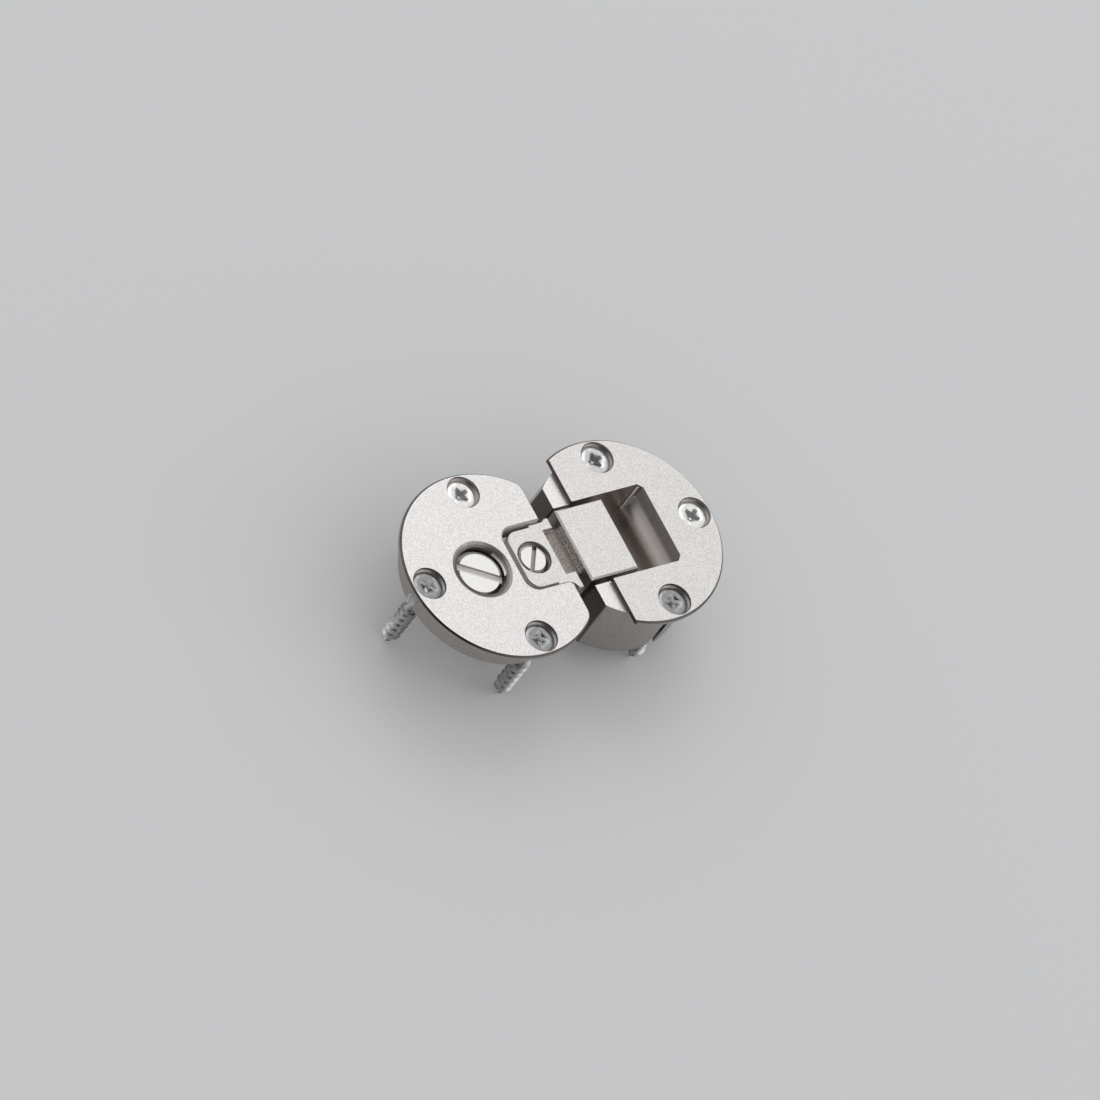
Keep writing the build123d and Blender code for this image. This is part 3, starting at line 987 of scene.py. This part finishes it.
@dataclass
class Arm(SubAssembly):
    """The arm's casting, its clamp screw and the nut."""

    face: Colour = (0.77, 0.75, 0.735)
    clamp_centre: tuple[float, float] = (8.75 * MM, 0.0)
    # Painted light: a matt mid-grey tone deep in the clamp screw's slot.
    clamp_slot_painted_light: Colour = (0.46, 0.445, 0.43)
    clamp_slot_matt: float = 0.6
    clamp_ring: float = 0.09 * MM
    nut: ZincPlate = ZincPlate("zinc_nut", tone=(0.62, 0.625, 0.635))
    slot_level: float = -0.75 * MM
    # Painted light: the arm's side walls get a lighter, partly matt tone.
    edges: Zone = Zone(
        low=mm(4.0, -8.5, -5.0), high=mm(16.5, 8.5, 0.2), colour=(0.66, 0.625, 0.605),
        faces=Faces.WALLS, matt=0.4,
    )
    # Painted shade: a dark ring on the sloped sides round the clamp screw's head.
    clamp_hole_shade: Zone = Zone(
        low=mm(5.2, -3.55, -2.0), high=mm(12.3, 3.55, 0.05), colour=(0.26, 0.245, 0.235),
        faces=Faces.SIDES,
    )
    # The neck between the plate and the block: a darker tone that is partly painted shade, with the
    # pits and roughness of a rougher cast face.
    strip: Zone = Zone(
        low=mm(13.35, -4.8, -1.6), high=mm(17.2, 4.8, 0.6), colour=(0.39, 0.345, 0.325),
        pits=0.38, roughness=0.16,
    )
    # Painted light: a light band on the block's left side, and a painted highlight along its top
    # left chamfer.
    block_wall_light: Zone = Zone(
        low=mm(17.2, -4.8, -1.6), high=mm(17.5, 4.8, 0.66), colour=(0.95, 0.87, 0.82),
        faces=Faces.WALLS, pits=0.45, roughness=0.25,
    )
    block_edge_highlight: Zone = Zone(
        low=mm(17.2, -7.7, 0.62), high=mm(17.75, 7.7, 1.1), colour=(0.96, 0.93, 0.91),
        faces=Faces.SLOPES,
    )

    def dress(self) -> None:
        """Finishes the arm, the screw and the nut."""
        zones = (self.edges, self.clamp_hole_shade, self.strip, self.block_wall_light, self.block_edge_highlight)
        casting = PlatedCasting("nickel_arm_casting", face=self.face, zones=zones)
        wear(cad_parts["hinge_arm"], casting.build())
        clamp = PolishedSteel(
            "polished_clamp_screw", self.clamp_centre, self.slot_level, slot=self.clamp_slot_painted_light,
            slot_matt=self.clamp_slot_matt, ring=self.clamp_ring,
        )
        wear(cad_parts["clamp_screw"], clamp.build())
        wear(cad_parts["clamp_nut"], self.nut.build())


@dataclass
class FlapHalf(Half):
    """The flap's casting, the hinge pin, and its three wood screws."""

    side: str = "flap"
    thread_top: float = -13.62 * MM
    platings: tuple[Plating, ...] = (Plating.FAIR, Plating.DULL, Plating.BRIGHT)
    face: Colour = (0.77, 0.75, 0.735)
    # Painted shade: near-black ear end faces.
    ear_end_shade: Zone = Zone(
        low=mm(17.8, -17.5, -13.2), high=mm(18.2, 17.5, 0.1), colour=(0.15, 0.13, 0.12),
        faces=Faces.WALLS,
    )
    # Painted light: the ear tops are lighter than the rest of the flange.
    ear_tops_light: Zone = Zone(
        low=mm(18.1, -17.5, -0.1), high=mm(21.7, 17.5, 0.1), colour=(0.90, 0.88, 0.87),
    )
    # Painted shade: a near-black straight side of the flange.
    straight_side_shade: Zone = Zone(
        low=mm(21.5, -19.8, -0.1), high=mm(22.1, 19.8, 1.1), colour=(0.14, 0.115, 0.105),
        faces=Faces.WALLS,
    )
    # Painted light: the cup's hollow gets a light tone, and its far end walls a light, partly matt
    # one.
    pocket_light: Zone = Zone(
        low=mm(18.2, -8.7, -12.6), high=mm(38.2, 8.7, 0.97), colour=(0.74, 0.69, 0.66),
        roughness=0.02,
    )
    end_wall_light: Zone = Zone(
        low=mm(36.6, -7.6, -5.0), high=mm(38.2, 7.6, 0.97), colour=(0.74, 0.69, 0.66),
        faces=Faces.WALLS, matt=0.35, soft=0.3 * MM,
    )
    # Painted highlight: a bright matt line where the hollow's side meets its far end.
    corner: Zone = Zone(
        low=mm(37.2, 7.8, -12.0), high=mm(37.5, 8.4, 0.5), colour=(0.95, 0.90, 0.87),
        faces=Faces.WALLS, matt=1.0, soft=0.10 * MM,
    )
    # Painted highlight: a brownish band across the hollow's far end, with its normal turned up so
    # that it catches the light.
    shoulder: HighlightBand = HighlightBand(
        start_x=35.2 * MM, end_x=38.3 * MM, middle_y=0.0, half_width=7.9 * MM,
        middle_z=-4.5 * MM, reach=3.6 * MM, lift=1.5, colour=(0.66, 0.61, 0.58),
    )
    pin: ZincPlate = ZincPlate(
        "ground_pin", tone=(0.60, 0.60, 0.60), streaks=(1.0, 0.2, 1.0), roughness=0.24
    )

    def dress(self) -> None:
        """Finishes the screws, the casting and the pin."""
        super().dress()
        zones = (RIM_SHADE, self.pocket_light, self.end_wall_light, self.corner, self.ear_end_shade, self.ear_tops_light,
                 self.straight_side_shade)
        casting = PlatedCasting(
            "nickel_flap_casting", face=self.face, zones=zones, highlight_bands=(self.shoulder,)
        )
        wear(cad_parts["flap_cup"], casting.build())
        wear(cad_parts["hinge_pin"], self.pin.build())


@dataclass(frozen=True)
class Lamp:
    """A soft square lamp, with its side and distance in metres and its power in watts."""

    name: str
    toward: Triple
    size: float
    power: float
    distance: float = 0.9

    def hang(self, aim: Vector) -> None:
        """Hangs the lamp.

        Args:
            aim: The point that it looks at.
        """
        data = bpy.data.lights.new(self.name, "AREA")
        data.size, data.energy = self.size, self.power
        lamp = bpy.data.objects.new(self.name, data)
        bpy.context.scene.collection.objects.link(lamp)
        back = Vector(self.toward).normalized()
        lamp.location = aim + back * self.distance
        lamp.rotation_euler = back.to_track_quat("Z", "Y").to_euler()


@dataclass
class Studio:
    """A pale floor, soft light and the camera at the photograph's angle."""

    target: Vector = field(default_factory=lambda: Vector((8.05, -1.99, 6.24)) * MM)
    right: Vector = field(default_factory=lambda: Vector((0.7926, -0.4528, 0.4069)))
    up: Vector = field(default_factory=lambda: Vector((0.2120, 0.8318, 0.5125)))
    frame_width: float = 202.2 * MM
    lens: float = 600.0
    sensor: float = 36.0
    floor_size: float = 6.0
    floor_colour: Colour = (0.72, 0.725, 0.735)
    backdrop: float = 0.93
    ambient: float = 0.72
    sky: Ramp = Ramp(0.05, 0.55, 0.5, 0.9)
    dim_direction: tuple[float, float] = (-0.87, -0.49)
    dim: Ramp = Ramp(0.0, 0.4, 1.0, 0.5)
    dark_cone: Ramp = Ramp(0.75, 0.96, 1.0, 0.06)
    aim: Vector = field(default_factory=lambda: Vector((14.0, 0.0, 0.0)) * MM)
    lamps: tuple[Lamp, ...] = (
        Lamp("key", (0.35, 0.75, 1.1), 0.45, 0.6),
        Lamp("side", (0.9, -0.7, 0.55), 0.25, 0.25),
    )
    near: float = 0.05
    far: float = 50.0

    def camera(self) -> None:
        """Places the camera."""
        right = self.right.normalized()
        back = right.cross(self.up).normalized()
        up = back.cross(right)
        data = bpy.data.cameras.new("camera")
        data.lens, data.sensor_width = self.lens, self.sensor
        distance = self.frame_width * self.lens / self.sensor
        data.clip_start, data.clip_end = self.near, self.far
        camera = bpy.data.objects.new("camera", data)
        bpy.context.scene.collection.objects.link(camera)
        place = self.target + back * distance
        camera.matrix_world = Matrix((
            (right.x, up.x, back.x, place.x),
            (right.y, up.y, back.y, place.y),
            (right.z, up.z, back.z, place.z),
            (0.0, 0.0, 0.0, 1.0),
        ))
        bpy.context.scene.camera = camera

    def floor(self, height: float) -> None:
        """Lays the floor under the screws' tips; it is see-through from below.

        Args:
            height: The floor's height.
        """
        shape = bmesh.new()
        bmesh.ops.create_grid(shape, x_segments=1, y_segments=1, size=self.floor_size / 2,
                              matrix=Matrix.Translation((0, 0, height)))
        material, graph = new_material("pale_floor")
        shader = graph.add(Kind.DIFFUSE)
        shader.inputs["Color"].default_value = (*self.floor_colour, 1.0)
        clear = graph.add(Kind.TRANSPARENT)
        mix = graph.add(Kind.MIX_SHADER)
        graph.feed(mix.inputs[0], graph.add(Kind.GEOMETRY).outputs["Backfacing"])
        graph.feed(mix.inputs[1], shader.outputs[0])
        graph.feed(mix.inputs[2], clear.outputs[0])
        graph.feed(graph.add(Kind.OUTPUT_MATERIAL).inputs["Surface"], mix.outputs[0])
        floor = add_piece("floor", shape)
        wear(floor, material)
        floor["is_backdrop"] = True

    def world(self) -> None:
        """Makes the light all round; the metal sees a dim horizon and a dark camera side."""
        world = bpy.data.worlds.new("studio")
        bpy.context.scene.world = world
        world.use_nodes = True
        graph = Graph(world.node_tree)
        place = graph.add(Kind.COORDINATES).outputs["Generated"]
        x, y, z = graph.parts(place)
        path = graph.add(Kind.LIGHT_PATH)
        glow = graph.follow(z, self.sky)
        behind = graph.maths("ADD", graph.scaled(x, self.dim_direction[0]),
                             graph.scaled(y, self.dim_direction[1]))
        glow = graph.scaled(glow, graph.follow(behind, self.dim))
        toward = graph.add(Kind.VECTOR_MATH, operation="DOT_PRODUCT")
        graph.feed(toward.inputs[0], place)
        toward.inputs[1].default_value = self.right.cross(self.up).normalized()
        glow = graph.scaled(glow, graph.follow(toward.outputs["Value"], self.dark_cone))
        seen, ambient = path.outputs["Is Glossy Ray"], (self.ambient,) * 3
        strength = graph.blend(seen, ambient, graph.grey(glow))
        strength = graph.blend(path.outputs["Is Camera Ray"], strength, (self.backdrop,) * 3)
        light = graph.add(Kind.BACKGROUND)
        graph.feed(light.inputs["Color"], strength)
        graph.feed(graph.add(Kind.OUTPUT_WORLD).inputs["Surface"], light.outputs[0])

    def build(self) -> None:
        """Builds the studio round the hinge."""
        low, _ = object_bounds()
        self.camera()
        self.floor(low.z)
        self.world()
        for lamp in self.lamps:
            lamp.hang(self.aim)
        bpy.context.scene.view_settings.view_transform = "Standard"


def main() -> None:
    """Builds and dresses the hinge, then the studio round it."""
    logging.basicConfig(level=logging.INFO, format="%(message)s")
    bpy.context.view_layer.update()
    parts = (CabinetHalf(), Adjuster(), Arm(), FlapHalf())
    for part in parts:
        part.build()
    for part in parts:
        part.dress()
    Studio().build()


if __name__ == "__main__":
    main()
